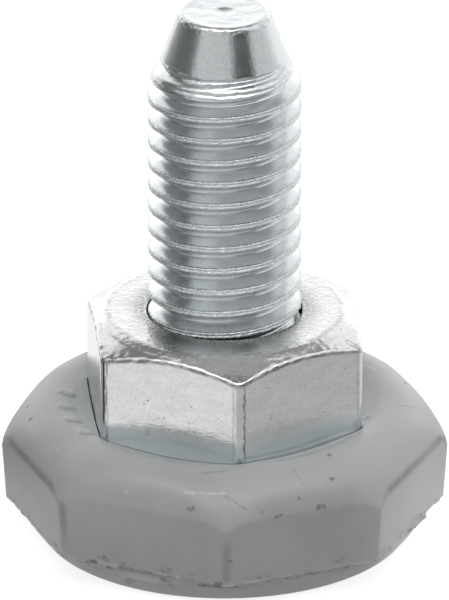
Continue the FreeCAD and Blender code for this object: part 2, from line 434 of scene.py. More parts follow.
def nut_piece(material):
    """The hex nut: chamfered corners, soft worn edges and a countersunk bore."""
    angle = columns(NUT_COLUMNS, NUT_TURN)
    top, bottom = NUT_HIGH.z, NUT_LOW.z
    side = hex_radius(angle, ACROSS_FLATS / 2, NUT_CORNER_ROUND)
    drop = (side - CHAMFER_CIRCLE_R) * CHAMFER_TAN
    sink = (SINK_R - BORE_R) * SINK_TAN
    corners = [
        (BORE_R, top - sink, 0.04, 2),
        (SINK_R, top, 0.04, 10),
        (CHAMFER_CIRCLE_R, top, 0.2, 6),
        (side, top - drop, NUT_EDGE_CUT, 26),
        (side, bottom + drop, NUT_EDGE_CUT, 4),
        (CHAMFER_CIRCLE_R, bottom, 0.2, 6),
        (SINK_R, bottom, 0.04, 2),
        (BORE_R, bottom + sink, 0.04, 12),
    ]
    rings = section_rings(angle, corners, closed=True)
    points, faces = faces_of_rings(rings, closed=True)
    radius, turn = around(points)
    outside = np.clip(radius - SINK_R, 0, 1)[:, None]
    worn = wander(wander(points, 2.6, 0.02), 0.5, 0.008)
    edge_r = hex_radius(turn, ACROSS_FLATS / 2, NUT_CORNER_ROUND)
    edge_z = top - (edge_r - CHAMFER_CIRCLE_R) * CHAMFER_TAN
    near_edge = np.exp(-((points[:, 2] - edge_z) / 0.3) ** 2) * (radius > edge_r - 0.6)
    worn += (wander(points, 0.45, NUT_EDGE_WEAR) - points) * near_edge[:, None]
    points = points + (worn - points) * outside
    return piece_from("zinc_hex_nut", points, faces, material, "hex_nut", "foot")


# ---------------- foot


def circle_through(a, b, c):
    """Centre and radius of the circle through three points."""
    ax, ay, bx, by, cx, cy = *a, *b, *c
    d = 2 * (ax * (by - cy) + bx * (cy - ay) + cx * (ay - by))
    sa, sb, sc = ax ** 2 + ay ** 2, bx ** 2 + by ** 2, cx ** 2 + cy ** 2
    x = (sa * (by - cy) + sb * (cy - ay) + sc * (ay - by)) / d
    y = (sa * (cx - bx) + sb * (ax - cx) + sc * (bx - ax)) / d
    return x, y, math.hypot(ax - x, ay - y)


def arc_points(a, b, c, count):
    """Points of the arc from a through b to c."""
    x, y, radius = circle_through(a, b, c)
    start = math.atan2(a[1] - y, a[0] - x)
    end = math.atan2(c[1] - y, c[0] - x)
    turns = np.linspace(start, end, count)
    return np.stack([x + radius * np.cos(turns), y + radius * np.sin(turns)], axis=1)


def crest_height(radius):
    """Height of the foot's top surface inside its crest line."""
    x, y, size = circle_through(CREST_START, CREST_TOP, RIM)
    crown = y + np.sqrt(np.maximum(size ** 2 - (radius - x) ** 2, 0))
    slope = (RIM[1] - LIP[1]) / (RIM[0] - LIP[0])
    dip = LIP[1] + (radius - LIP[0]) * slope
    return np.where(radius > RIM[0], crown, dip)


def octagon_sides():
    """Each side of the octagon: the direction it faces, and its share of the corner radius."""
    ends = CORNER_ANGLES + [CORNER_ANGLES[0] + 360]
    sides = []
    for a, b in zip(ends, ends[1:]):
        sides.append((math.radians((a + b) / 2), math.cos(math.radians((b - a) / 2))))
    return sides


def ray_to_planes(angle, tilt, corner_at_zero, lean):
    """Ray length to an octagon of planes whose corner radius is corner_at_zero + lean * z."""
    length = None
    for facing_angle, share in octagon_sides():
        facing = np.cos(angle - facing_angle)
        across = np.maximum(facing * np.cos(tilt) - lean * share * np.sin(tilt), 1e-6)
        reach = (corner_at_zero + lean * RAY_CENTRE[1]) * share - RAY_CENTRE[0] * facing
        here = np.where(facing > 0.5, reach / across, 1e3)
        length = here if length is None else soft_min(length, here, CORNER_SOFTNESS)
    return length


def shoulder_ray(tilt):
    """Ray length to the lathed shoulder, by the ray's angle above the horizontal."""
    middle = (CREST_TOP[0] + CREST_START[0]) / 2
    upper = arc_points(CREST_TOP, (middle, crest_height(middle)), CREST_START, 40)
    lower = arc_points(CREST_START, SHOULDER_MIDDLE, (SHOULDER_CORNER_R, SHOULDER_Z), 80)
    wall = np.array([[SHOULDER_CORNER_R, 0.0]])
    outline = np.concatenate([upper, lower[1:], wall])
    dr = outline[:, 0] - RAY_CENTRE[0]
    dz = outline[:, 1] - RAY_CENTRE[1]
    tilts = np.arctan2(dz, dr)
    order = np.argsort(tilts)
    return np.interp(tilt, tilts[order], np.hypot(dr, dz)[order])


def facet_edge_radius(angle, z):
    """Radius of the softened octagon at a height."""
    corner_r = LEDGE_CORNER_R + (z - LEDGE_Z) * FACET_LEAN
    length = None
    for facing_angle, share in octagon_sides():
        facing = np.cos(angle - facing_angle)
        here = np.where(facing > 0.5, corner_r * share / np.maximum(facing, 0.5), 1e3)
        length = here if length is None else soft_min(length, here, CORNER_SOFTNESS)
    return length


def crease_window(angle):
    """Where a shallow sink line follows the facets' upper edge: round the sides and the back."""
    return smooth_step(np.abs(signed_degrees(angle) + 2), 46, 53)


def crease_line(angle, tilt, half_width):
    """1 along the line where a facet meets the shoulder or the leaning plane above it."""
    facets = ray_to_planes(angle, tilt, FACETS_AT_ZERO, FACET_LEAN)
    band = ray_to_planes(angle, tilt, BAND_AT_ZERO, BAND_LEAN)
    upper = np.minimum(band, shoulder_ray(tilt))
    return np.exp(-((facets - upper) / half_width) ** 2) * crease_window(angle)


def dark_corner_line(points, corner, half_width, low, high):
    """A dark line down one upright corner of the octagon; low and high are the heights where it fades."""
    radius, angle = around(points)
    away = radius * (angle - math.radians(corner))
    line = np.exp(-(away / half_width) ** 2) * (radius > SKIRT_TOP_R)
    return line * smooth_window(points[:, 2], *low, *high)


def crease_shade_and_corner_lines(points):
    """How much painted shade sits in the creases at each point, and how dark the lines down two corners
    are, found from its place on the foot.
    """
    radius, angle = around(points)
    tilt = np.arctan2(points[:, 2] - RAY_CENTRE[1], radius - RAY_CENTRE[0])
    on_outside = (radius > 11.5) & (points[:, 2] > 3.0)
    crease = crease_line(angle, np.where(on_outside, tilt, 0.2), CREASE_SHADE_HALF)
    front = 0.55 * dark_corner_line(points, CORNER_ANGLES[0], 0.26, (1.9, 2.6), (4.6, 5.6))
    left = 0.8 * dark_corner_line(points, CORNER_ANGLES[7] - 359.0, 0.2, (2.4, 4.5), (5.6, 6.2))
    return np.maximum(np.where(on_outside, crease, 0.0), np.maximum(front, left))


def outer_point(angle, tilt):
    """Radius and height where a ray from the section's centre leaves the foot."""
    facets = ray_to_planes(angle, tilt, FACETS_AT_ZERO, FACET_LEAN)
    band = ray_to_planes(angle, tilt, BAND_AT_ZERO, BAND_LEAN)
    length = soft_min(facets, soft_min(band, shoulder_ray(tilt), BAND_SOFTNESS), FACET_SOFTNESS)
    length = length - CREASE_DEPTH * crease_line(angle, tilt, CREASE_HALF)
    return RAY_CENTRE[0] + length * np.cos(tilt), RAY_CENTRE[1] + length * np.sin(tilt)


def outer_tilts(angle, upper, lower):
    """Tilts of the rays from the crest line down to level, and on to the facets' lower edge."""
    top_tilt = math.atan2(CREST_TOP[1] - RAY_CENTRE[1], CREST_TOP[0] - RAY_CENTRE[0])
    edge_z = LEDGE_Z + FACET_FOOT
    low_tilt = np.arctan2(edge_z - RAY_CENTRE[1], facet_edge_radius(angle, edge_z) - RAY_CENTRE[0])
    tilts = [top_tilt * (1 - t) + 0 * angle for t in np.linspace(0, 1, upper)]
    return tilts + [low_tilt * t for t in np.linspace(0, 1, lower)[1:]]


def outer_rings(angle):
    """Crest, shoulder, leaning bands and finger facets, down to the facets' lower edge."""
    return [ring(*outer_point(angle, tilt), angle) for tilt in outer_tilts(angle, 78, 26)]


def collar(angle, away):
    """Height of the thin lip of plastic that creeps up beside the nut's front right side."""
    window = smooth_window(signed_degrees(angle), 2, 16, 50, 62)
    lip = 0.08 * np.exp(-((away - 0.14) / 0.1) ** 2) - 0.07 * np.exp(-((away - 0.42) / 0.11) ** 2)
    return window * lip


def pips(points):
    """Four small raised oval mould pips in an arc beside the nut's left side."""
    radius, angle = around(points)
    lift = np.zeros(len(points))
    for turn in PIP_ANGLES:
        across = (radius - PIP_RING_R) / 0.6
        along = radius * (angle - math.radians(turn)) / 0.5
        inside = 1 - smooth_step(np.hypot(across, along), 0.7, 1.15)
        lift = np.maximum(lift, PIP_HEIGHT * inside * (points[:, 2] > 8.0))
    return lift


def flash(points):
    """How far the ragged moulding flash stands out along the facets' lower edge."""
    radius, angle = around(points)
    near_edge = np.exp(-((points[:, 2] - LEDGE_Z - 0.03) / 0.09) ** 2) * (radius > 12.8)
    ragged = hammered(points, 1.6, 0.0, 3.0) + 0.6 * hammered(points, 5.0, 0.0, 9.0)
    burr = smooth_window(np.degrees(angle), 62, 68, 74, 80)
    return near_edge * (FLASH + FLASH_RAGGED * np.maximum(ragged, -0.45) + BURR * burr)


def top_rings(angle):
    """From the foot of the nut out to the crest line."""
    pocket = hex_radius(angle, ACROSS_FLATS / 2 + POCKET_GAP, NUT_CORNER_ROUND + POCKET_GAP)
    rings = []
    for share in np.linspace(0, 1, 34)[:-1] ** 1.4:
        radius = pocket + (CREST_TOP[0] - pocket) * share
        rings.append(ring(radius, crest_height(radius) + collar(angle, radius - pocket), angle))
    return rings


def rib_angles(angle, radius):
    """The even columns moved so that ten of each half sector follow a rib of constant width."""
    half = FOOT_COLUMNS // 16
    offsets = np.array([0, 0.2, 0.38, 0.46, 0.52, 0.55, 0.58, 0.62, 0.72, 0.85]) * RIB_THICKNESS
    moved = np.empty(len(angle))
    for j in range(len(angle)):
        sector = round(angle[j] / EIGHTH - 1e-9)
        centre = sector * EIGHTH
        step = int(round((angle[j] - centre) / (TURN / FOOT_COLUMNS)))
        k, sign = abs(step), 1 if step >= 0 else -1
        if k < len(offsets):
            away = math.asin(offsets[k] / radius)
        else:
            last = math.asin(offsets[-1] / radius)
            away = last + (EIGHTH / 2 - last) * (k - len(offsets) + 1) / (half - len(offsets) + 1)
        moved[j] = centre + sign * away
    return moved


def rib_ceiling():
    """Height of the underside over each column: the rib's foot, or the hollow's roof."""
    half = FOOT_COLUMNS // 16
    offsets = np.abs((np.arange(FOOT_COLUMNS) + half) % (2 * half) - half)
    steps = np.array([0, 0, 0, 0, 0.01, 0.04, 0.93, 0.98, 1.0])
    share = steps[np.minimum(offsets, len(steps) - 1)]
    return RIB_FOOT_Z + (CORE_DEPTH - RIB_FOOT_Z) * share


# The hollow's wall: distance from its nominal radius, and share of the hollow's depth
HOLLOW_WALL = [(0.08, 0.0), (0.02, 0.01), (0.0, 0.04), (-0.02, 0.35)]
HOLLOW_WALL += [(-0.04, 0.7), (-0.06, 0.95), (-0.12, 0.99), (-0.25, 1.0)]


def under_rings(angle):
    """Ledge, skirt, floor ring, ribbed hollow and boss."""
    edge_r = facet_edge_radius(angle, LEDGE_Z)
    skirt_top = np.minimum(SKIRT_TOP_R, edge_r - 0.2)
    corners = [
        (edge_r, LEDGE_Z + FACET_FOOT, 0, 0),
        (edge_r, LEDGE_Z, 0.1, 2),
        (skirt_top, LEDGE_Z, 0.08, 2),
        (SKIRT_MID[0], SKIRT_MID[1], 0.15, 4),
        (FLOOR_R, 0.15, 0.1, 0),
        (FLOOR_R - 0.3, 0.0, 0.1, 3),
        (CORE_OUTER_R + 0.3, 0.0, 0, 0),
    ]
    rings = section_rings(angle, corners)[1:]
    ceiling = rib_ceiling()
    for away, share in HOLLOW_WALL:
        radius = CORE_OUTER_R + away
        rings.append(ring(radius, ceiling * share, rib_angles(angle, radius)))
    for share in (0.2, 0.4, 0.6, 0.8):
        start, end = CORE_OUTER_R - 0.25, CORE_INNER_R + 0.25
        radius = start + (end - start) * share
        rings.append(ring(radius, ceiling, rib_angles(angle, radius)))
    for away, share in reversed(HOLLOW_WALL):
        radius = CORE_INNER_R - away
        rings.append(ring(radius, ceiling * share, rib_angles(angle, radius)))
    for share in (0.85, 0.6, 0.3, 0.1):
        rings.append(ring(CORE_INNER_R * share, 0.0, angle))
    rings.append(pole(0.0))
    return rings


def inner_rings(angle):
    """The stud's well and the nut's pocket, from the axis up to the lip."""
    pocket = hex_radius(angle, ACROSS_FLATS / 2 + POCKET_GAP, NUT_CORNER_ROUND + POCKET_GAP)
    corners = [
        (0.6, WELL_BOTTOM_Z, 0, 2),
        (WELL_R, WELL_BOTTOM_Z, 0.3, 4),
        (WELL_R, NUT_LOW.z, 0.05, 2),
        (pocket, NUT_LOW.z, 0.05, 3),
        (pocket, crest_height(pocket), 0, 0),
    ]
    return [pole(WELL_BOTTOM_Z)] + section_rings(angle, corners)[:-1]


def foot_piece(material):
    """The moulded plastic foot."""
    angle = columns(FOOT_COLUMNS)
    rings = inner_rings(angle) + top_rings(angle) + outer_rings(angle) + under_rings(angle)
    points, faces = faces_of_rings(rings)
    radius, _ = around(points)
    outer = smooth_step(radius, 9.9, 10.8) * smooth_step(points[:, 2], 0.3, 1.0)
    points = points + (wander(points, 3.5, 0.05) - points) * outer[:, None]
    points[:, 2] += pips(points)
    points[:, :2] *= (1 + flash(points) / np.maximum(radius, 1.0))[:, None]
    piece = piece_from("moulded_foot", points, faces, material, "foot_body", "foot")
    # The crease layer holds painted shade for the creases and the dark lines down two corners.
    layer = piece.data.attributes.new("crease", "FLOAT", "POINT")
    places = np.empty(len(piece.data.vertices) * 3)
    piece.data.vertices.foreach_get("co", places)
    layer.data.foreach_set("value", crease_shade_and_corner_lines(places.reshape(-1, 3) / MM))


# ---------------- materials


def node(tree, kind, inputs=None, **settings):
    """Add a shader node; an input may be a value or another node's output."""
    made = tree.nodes.new(kind)
    for key, value in settings.items():
        setattr(made, key, value)
    for key, value in (inputs or {}).items():
        if isinstance(value, bpy.types.NodeSocket):
            tree.links.new(value, made.inputs[key])
        else:
            made.inputs[key].default_value = value
    return made


def maths(tree, operation, a, b=0.0):
    """One arithmetic node."""
    return node(tree, "ShaderNodeMath", {0: a, 1: b}, operation=operation).outputs[0]


def times(tree, *values):
    """The product of some values."""
    return reduce(lambda a, b: maths(tree, "MULTIPLY", a, b), values)


def plus(tree, *values):
    """The sum of some values."""
    return reduce(lambda a, b: maths(tree, "ADD", a, b), values)


def minus(tree, a, b):
    """One value less another."""
    return maths(tree, "SUBTRACT", a, b)


def most(tree, *values):
    """The largest of some values."""
    return reduce(lambda a, b: maths(tree, "MAXIMUM", a, b), values)


def vector(tree, operation, a, b=None):
    """One arithmetic node on vectors; DOT_PRODUCT and LENGTH give a number."""
    inputs = {0: a}
    if b is not None:
        inputs["Scale" if operation == "SCALE" else 1] = b
    made = node(tree, "ShaderNodeVectorMath", inputs, operation=operation)
    return made.outputs["Value" if operation in ("DOT_PRODUCT", "LENGTH") else "Vector"]


def remap(tree, value, low, high, to_low=0.0, to_high=1.0):
    """A value mapped smoothly from one range to another."""
    inputs = {"Value": value, "From Min": low, "From Max": high, "To Min": to_low, "To Max": to_high}
    return node(tree, "ShaderNodeMapRange", inputs, interpolation_type="SMOOTHSTEP").outputs["Result"]


def window(tree, value, low, full, end, gone):
    """1 between full and end, with smooth falls to 0 at low and gone."""
    return times(tree, remap(tree, value, low, full), remap(tree, value, end, gone, 1.0, 0.0))


def direction_band(tree, azimuth, start, end, soft):
    """1 where the azimuth in degrees is between start and end, with soft sides."""
    return window(tree, azimuth, start - soft, start + soft, end - soft, end + soft)


def polar(tree, split):
    """Azimuth in degrees from the front towards +X, and distance from the axis, of a split vector."""
    x, y = split.outputs["X"], split.outputs["Y"]
    azimuth = maths(tree, "ARCTAN2", x, times(tree, y, -1.0))
    square = plus(tree, times(tree, x, x), times(tree, y, y))
    return times(tree, azimuth, 360 / TURN), maths(tree, "SQRT", square)


def soft_noise(tree, place, scale, detail=2.0, roughness=0.5):
    """A noise node's outputs, with scale in features per millimetre."""
    inputs = {"Vector": place, "Scale": scale, "Detail": detail, "Roughness": roughness}
    return node(tree, "ShaderNodeTexNoise", inputs).outputs


def fac_noise(tree, place, scale, detail=2.0, roughness=0.5):
    """Smooth noise between 0 and 1."""
    return soft_noise(tree, place, scale, detail, roughness)["Fac"]


def mix_colour(tree, share, a, b):
    """Two colours mixed by a share."""
    return node(tree, "ShaderNodeMix", {"Factor": share, 6: a, 7: b}, data_type="RGBA").outputs[2]


def bump(tree, height, distance, under=None):
    """A bump from a height, with distance in millimetres."""
    inputs = {"Height": height, "Distance": distance * MM}
    if under is not None:
        inputs["Normal"] = under
    return node(tree, "ShaderNodeBump", inputs).outputs["Normal"]


def stretched(tree, place, x, y, z):
    """The coordinate scaled by axis."""
    return vector(tree, "MULTIPLY", place, (x, y, z))


def empty_tree(owner):
    """The node tree of a material or world, with nothing in it."""
    owner.use_nodes = True
    owner.node_tree.nodes.clear()
    return owner.node_tree


def new_material(name):
    """An empty material with its output and a coordinate in millimetres."""
    material = bpy.data.materials.new(name)
    tree = empty_tree(material)
    output = node(tree, "ShaderNodeOutputMaterial")
    place = node(tree, "ShaderNodeTexCoord").outputs["Object"]
    return material, tree, output, vector(tree, "SCALE", place, 1 / MM)


def surface(tree, output, colour, gloss, normal, **more):
    """Join a colour, roughness and normal into a surface; more names further inputs."""
    inputs = {"Base Color": colour, "Roughness": gloss, "Normal": normal, **more}
    shader = node(tree, "ShaderNodeBsdfPrincipled", inputs)
    tree.links.new(shader.outputs["BSDF"], output.inputs["Surface"])


def strokes(tree, place, marks):
    """Smudges and scuffs along short lines: each mark is (start, end, half width)."""
    shake = soft_noise(tree, place, 2.6, 4.0, 0.7)["Color"]
    shake = vector(tree, "SCALE", vector(tree, "SUBTRACT", shake, (0.5, 0.5, 0.5)), 0.5)
    bent = vector(tree, "ADD", shake, place)
    near = []
    for start, end, half in marks:
        run = Vector(end) - Vector(start)
        away = vector(tree, "SUBTRACT", bent, start)
        along = vector(tree, "DOT_PRODUCT", away, tuple(run / max(run.length_squared, 1e-4)))
        along = maths(tree, "MINIMUM", most(tree, along, 0.0), 1.0)
        left = vector(tree, "SUBTRACT", away, vector(tree, "SCALE", tuple(run), along))
        near.append(remap(tree, vector(tree, "LENGTH", left), half * 0.45, half * 1.1, 1.0, 0.0))
    return most(tree, *near)


def specks(tree, place, scale, low, high, shift, rarity):
    """Scattered irregular dots: scale sets the spacing and rarity how many cells stay empty."""
    moved = vector(tree, "ADD", place, (shift, 0, 0))
    shake = vector(tree, "MULTIPLY", soft_noise(tree, moved, 4.0)["Color"], (0.35, 0.35, 0.35))
    bent = vector(tree, "ADD", moved, shake)
    cells = node(tree, "ShaderNodeTexVoronoi", {"Vector": bent, "Scale": scale})
    dot = remap(tree, cells.outputs["Distance"], low, high, 1.0, 0.0)
    pick = node(tree, "ShaderNodeSeparateColor", {0: cells.outputs["Color"]}).outputs[0]
    return times(tree, dot, maths(tree, "GREATER_THAN", pick, rarity))


def zinc_base(name, light, dark, pits):
    """The start of a zinc plate: speckled tone and small pits."""
    material, tree, output, place = new_material(name)
    speckle = fac_noise(tree, place, 5.0, 4, 0.65)
    clouds = fac_noise(tree, stretched(tree, place, 1, 1, 2.5), 0.7, 3)
    tone = plus(tree, times(tree, speckle, 0.6), times(tree, clouds, 0.4))
    colour = mix_colour(tree, remap(tree, tone, 0.38, 0.62), dark, light)
    cells = node(tree, "ShaderNodeTexVoronoi", {"Vector": place, "Scale": 2.2})
    pit = remap(tree, cells.outputs["Distance"], 0.06, 0.2, 1.0, 0.0)
    keep = remap(tree, fac_noise(tree, place, 1.3), 0.48, 0.6)
    pit = times(tree, pit, keep, pits)
    colour = mix_colour(tree, pit, colour, PIT_GREY)
    gloss = times(tree, remap(tree, tone, 0.35, 0.65, 1.0, 0.0), 0.05)
    return material, tree, output, place, speckle, pit, colour, gloss


# Colours
STUD_LIGHT, STUD_DARK = (0.745, 0.775, 0.785, 1), (0.69, 0.725, 0.74, 1)
NUT_LIGHT, NUT_DARK = (0.80, 0.803, 0.79, 1), (0.70, 0.703, 0.692, 1)
# Bluish tint for the painted reflection low on the nut's sides
NUT_REFLECTED_BLUE = (0.84, 0.92, 0.93, 1)
PIT_GREY = (0.2, 0.205, 0.205, 1)
# Grime for the nut's lines and marks, and painted shade on its top
NUT_GRIME_AND_SHADE = (0.13, 0.13, 0.125, 1)
PLASTIC_DARK, PLASTIC_LIGHT = (0.325, 0.332, 0.343, 1), (0.36, 0.365, 0.373, 1)
# Painted light: a lighter grey for the right side of the foot
PLASTIC_LIT_RIGHT = (0.435, 0.435, 0.436, 1)
# Painted light: a lighter grey for the top of the foot
PLASTIC_LIT_TOP = (0.43, 0.435, 0.44, 1)
PLASTIC_SKIRT = (0.47, 0.465, 0.455, 1)
# Dark grey for the dirt and for the painted shade in the creases
PLASTIC_DIRT_AND_SHADE = (0.075, 0.075, 0.078, 1)
PLASTIC_SCUFF = (0.62, 0.62, 0.62, 1)


def stud_zinc(name):
    """Satin zinc on a rolled thread: smooth blue-grey flanks and rough bright crests."""
    zinc = zinc_base(name, STUD_LIGHT, STUD_DARK, 0.15)
    material, tree, output, place, speckle, pit, colour, gloss = zinc
    _, radius = polar(tree, node(tree, "ShaderNodeSeparateXYZ", {0: place}))
    crest = remap(tree, radius, CREST_R - 0.16, CREST_R - 0.04)
    glitter = fac_noise(tree, stretched(tree, place, 1, 1, 2.5), 2.4, 3)
    glitter = times(tree, crest, remap(tree, glitter, 0.4, 0.6, -0.12, 0.12))
    battered = fac_noise(tree, stretched(tree, place, 1, 1, 2.0), 5.0, 4, 0.65)
    streaks = fac_noise(tree, stretched(tree, place, 1, 1, 0.12), 2.6, 3, 0.6)
    normal = bump(tree, streaks, 0.012)
    normal = bump(tree, speckle, 0.003, normal)
    normal = bump(tree, times(tree, battered, crest), 0.08, normal)
    normal = bump(tree, times(tree, pit, -1.0), 0.01, normal)
    surface(tree, output, colour, plus(tree, gloss, 0.21, glitter), normal, Metallic=1.0)
    return material


def at(turn, radius, height):
    """A point by its angle in degrees from the front, distance from the axis and height."""
    angle = math.radians(turn)
    return radius * math.sin(angle), -radius * math.cos(angle), height


# Scuffs at the nut's corners, each mark (start, end, half width)
NUT_MARKS = [
    (at(-56, 9.5, 14.3), at(-55, 9.15, 14.4), 0.24),
    (at(1, 9.2, 14.3), at(10.5, 9.35, 14.3), 0.4),
    (at(64, 9.65, 8.6), at(63.5, 9.6, 8.9), 0.4),
    (at(5.7, 9.65, 8.3), at(5.7, 9.65, 8.7), 0.3),
    (at(65, 9.4, 14.2), at(63.5, 8.8, 14.4), 0.35),
]


def nut_outline(tree, place, turned, radius, below):
    """The broken dark lines beside the nut's corners, stronger to the right of each corner, and along its
    faces' upper edges.
    """
    clouded = fac_noise(tree, place, 2.2, 3)
    shake = times(tree, minus(tree, clouded, 0.5), 0.3)
    from_corner = times(tree, maths(tree, "PINGPONG", turned, 30.0), TURN / 360)
    along = plus(tree, times(tree, maths(tree, "SINE", from_corner), radius), shake)
    corner_line = window(tree, along, 0.24, 0.34, 0.36, 0.48)
    right_of_corner = remap(tree, maths(tree, "FLOORED_MODULO", turned, 60.0), 25, 35, 1.0, 0.45)
    corner_line = times(tree, corner_line, right_of_corner, remap(tree, below, 0.12, 0.3))
    top_line = window(tree, plus(tree, below, shake), 0.03, 0.12, 0.2, 0.34)
    top_line = times(tree, top_line, remap(tree, below, 0.02, 0.08))
    broken = remap(tree, fac_noise(tree, place, 1.1, 3), 0.4, 0.6, 0.35, 0.75)
    return times(tree, most(tree, corner_line, top_line), broken), clouded


def nut_zinc(name):
    """Bright zinc on a cold-formed nut: brushed faces with broken dark outlines and scuff marks, painted
    shade round the bore and in front of the stud, and a painted bluish reflection low on the sides.
    """
    zinc = zinc_base(name, NUT_LIGHT, NUT_DARK, 0.5)
    material, tree, output, place, speckle, pit, colour, gloss = zinc
    split = node(tree, "ShaderNodeSeparateXYZ", {0: place})
    height = split.outputs["Z"]
    azimuth, radius = polar(tree, split)
    turned = minus(tree, azimuth, math.degrees(NUT_TURN) - 360)
    cone = times(tree, most(tree, minus(tree, radius, CHAMFER_CIRCLE_R), 0.0), CHAMFER_TAN)
    below = minus(tree, minus(tree, NUT_HIGH.z, cone), height)
    outline, clouded = nut_outline(tree, place, turned, radius, below)
    # Painted shade on the top: darker round the bore, where the stud meets the nut, and on the front half
    # nearer the bore.
    painted_bore_shade = times(tree, remap(tree, radius, SINK_R, SINK_R + 1.5, 0.7, 0.0), remap(tree, speckle, 0.3, 0.6))
    in_front = direction_band(tree, azimuth, -52, 52, 22)
    shaded = times(tree, in_front, remap(tree, radius, 5.4, 7.5, 0.6, 0.0))
    # A broken dark ring where the top meets the chamfer.
    chamfer_ring = window(tree, radius, 7.2, 7.5, 7.55, 7.85)
    chamfer_ring = times(tree, chamfer_ring, remap(tree, clouded, 0.4, 0.62, 0.04, 0.34))
    on_top = remap(tree, height, NUT_HIGH.z - 0.35, NUT_HIGH.z - 0.2)
    battered = remap(tree, fac_noise(tree, place, 3.0, 4, 0.7), 0.42, 0.58, 0.05, 0.6)
    marks = times(tree, strokes(tree, place, NUT_MARKS), battered)
    # The dark outline takes in the painted shade on the top along with the lines and scuff marks.
    outline = most(tree, outline, times(tree, most(tree, painted_bore_shade, shaded, chamfer_ring), on_top), marks)
    # Painted reflection: the lower part of the sides is tinted bluish, standing for the foot mirrored in
    # them.
    blue = remap(tree, height, NUT_LOW.z + 2.0, NUT_LOW.z + 3.2, 0.85, 0.0)
    colour = mix_colour(tree, blue, colour, NUT_REFLECTED_BLUE)
    colour = mix_colour(tree, outline, colour, NUT_GRIME_AND_SHADE)
    normal = bump(tree, fac_noise(tree, stretched(tree, place, 1, 1, 7), 1.6, 3), 0.006)
    normal = bump(tree, speckle, 0.005, normal)
    normal = bump(tree, times(tree, fac_noise(tree, place, 3.5, 3), on_top), 0.03, normal)
    normal = bump(tree, times(tree, pit, -1.0), 0.02, normal)
    surface(tree, output, colour, plus(tree, gloss, 0.08, times(tree, outline, 0.2)), normal, Metallic=1.0)
    return material


def foot_outline(turn):
    """Radii and heights of the foot's outside at an angle in degrees, from the crest line to the floor."""
    angle = np.array([math.radians(turn)])
    outline = [outer_point(angle, tilt) for tilt in outer_tilts(angle, 78, 26)]
    outline = [(radius[0], height[0]) for radius, height in outline]
    return np.array(outline + [(SKIRT_TOP_R, LEDGE_Z), SKIRT_MID, (FLOOR_R, 0.15)]).T


def foot_side(turn, height):
    """A point on the foot's outside, by its angle from the front and height."""
    radii, heights = foot_outline(turn)
    return at(turn, np.interp(height, heights[::-1], radii[::-1]), height)


def foot_top(turn, radius):
    """A point on the foot's top, by its angle from the front and distance from the axis."""
    radii, heights = foot_outline(turn)
    beyond = np.interp(radius, radii[heights > 7.5], heights[heights > 7.5])
    return at(turn, radius, crest_height(radius) if radius < CREST_TOP[0] else beyond)


# Dirt on the foot, each mark (start, end, half width)
DARK_MARKS = [
    (foot_side(26.5, 6.6), foot_side(28, 6.6), 0.24),
    (foot_side(21.5, 7.3), foot_side(21.5, 7.3), 0.16),
    (foot_side(14, 6.45), foot_side(15.5, 6.45), 0.13),
    (foot_side(10.5, 6.85), foot_side(10.5, 6.9), 0.11),
    (foot_side(32, 8.0), foot_side(33, 8.05), 0.12),
    (foot_side(-10, 7.05), foot_side(-8.5, 7.1), 0.16),
    (foot_side(-39.5, 2.05), foot_side(-38.5, 2.05), 0.22),
    (foot_side(-35.5, 2.5), foot_side(-34.5, 2.3), 0.2),
    (foot_side(-30.5, 1.95), foot_side(-21, 1.95), 0.25),
    (foot_side(-7, 1.45), foot_side(3.5, 1.4), 0.16),
    (foot_side(1.5, 3.85), foot_side(1.5, 3.8), 0.17),
    (foot_side(-2, 2.1), foot_side(-1, 2.1), 0.2),
    (foot_top(-38, 10.25), foot_top(-37, 10.3), 0.15),
    (foot_top(75, 9.4), foot_top(76.5, 9.45), 0.24),
]
FAINT_MARKS = [
    (foot_top(-7, 11.5), foot_top(0, 11.2), 0.12),
    (foot_top(22, 11.55), foot_side(23.5, 8.05), 0.11),
    (foot_side(0, 7.85), foot_side(5.5, 7.2), 0.12),
    (foot_top(84.5, 11.25), foot_top(87, 12.1), 0.13),
    (foot_side(23, 1.8), foot_side(39, 1.8), 0.16),
    (foot_side(-30.5, 0.7), foot_side(-28, 1.1), 0.34),
    (foot_side(-18, 1.6), foot_side(-15.5, 1.2), 0.28),
]
PALE_MARKS = [
    (foot_side(-6.5, 7.95), foot_side(0, 7.95), 0.1),
    (foot_side(-11.5, 7.9), foot_side(-7.5, 7.95), 0.09),
    (foot_side(-29, 7.35), foot_side(-29, 7.4), 0.12),
    (foot_side(-58.5, 8.2), foot_side(-58.5, 8.25), 0.1),
    (foot_top(121, 10.4), foot_top(115.5, 10.75), 0.1),
]


def plastic_dirt_and_shade(tree, place, height, clouds):
    """How dark the dirt and painted shade are: a dirt smear at the lower edge, specks, marks, and painted
    shade in the creases with dark lines down two corners.
    """
    smear = fac_noise(tree, stretched(tree, place, 1, 1, 2.0), 1.1, 4, 0.65)
    smear = times(tree, remap(tree, smear, 0.55, 0.68), window(tree, height, 0.9, 1.8, 2.1, 3.0))
    mottle = remap(tree, fac_noise(tree, place, 3.2, 4, 0.7), 0.38, 0.58, 0.25, 1.0)
    dark = times(tree, strokes(tree, place, DARK_MARKS), mottle)
    faint = times(tree, strokes(tree, place, FAINT_MARKS), 0.4)
    dirt = most(tree, smear, specks(tree, place, 0.42, 0.04, 0.11, 0.0, 0.8), dark, faint)
    # Painted shade in the creases and dark lines down two corners, from the crease layer.
    crease = node(tree, "ShaderNodeAttribute", attribute_name="crease").outputs["Fac"]
    crease = times(tree, crease, remap(tree, clouds, 0.3, 0.6, 0.35, 1.0))
    return most(tree, times(tree, dirt, 0.68), times(tree, crease, 0.6))


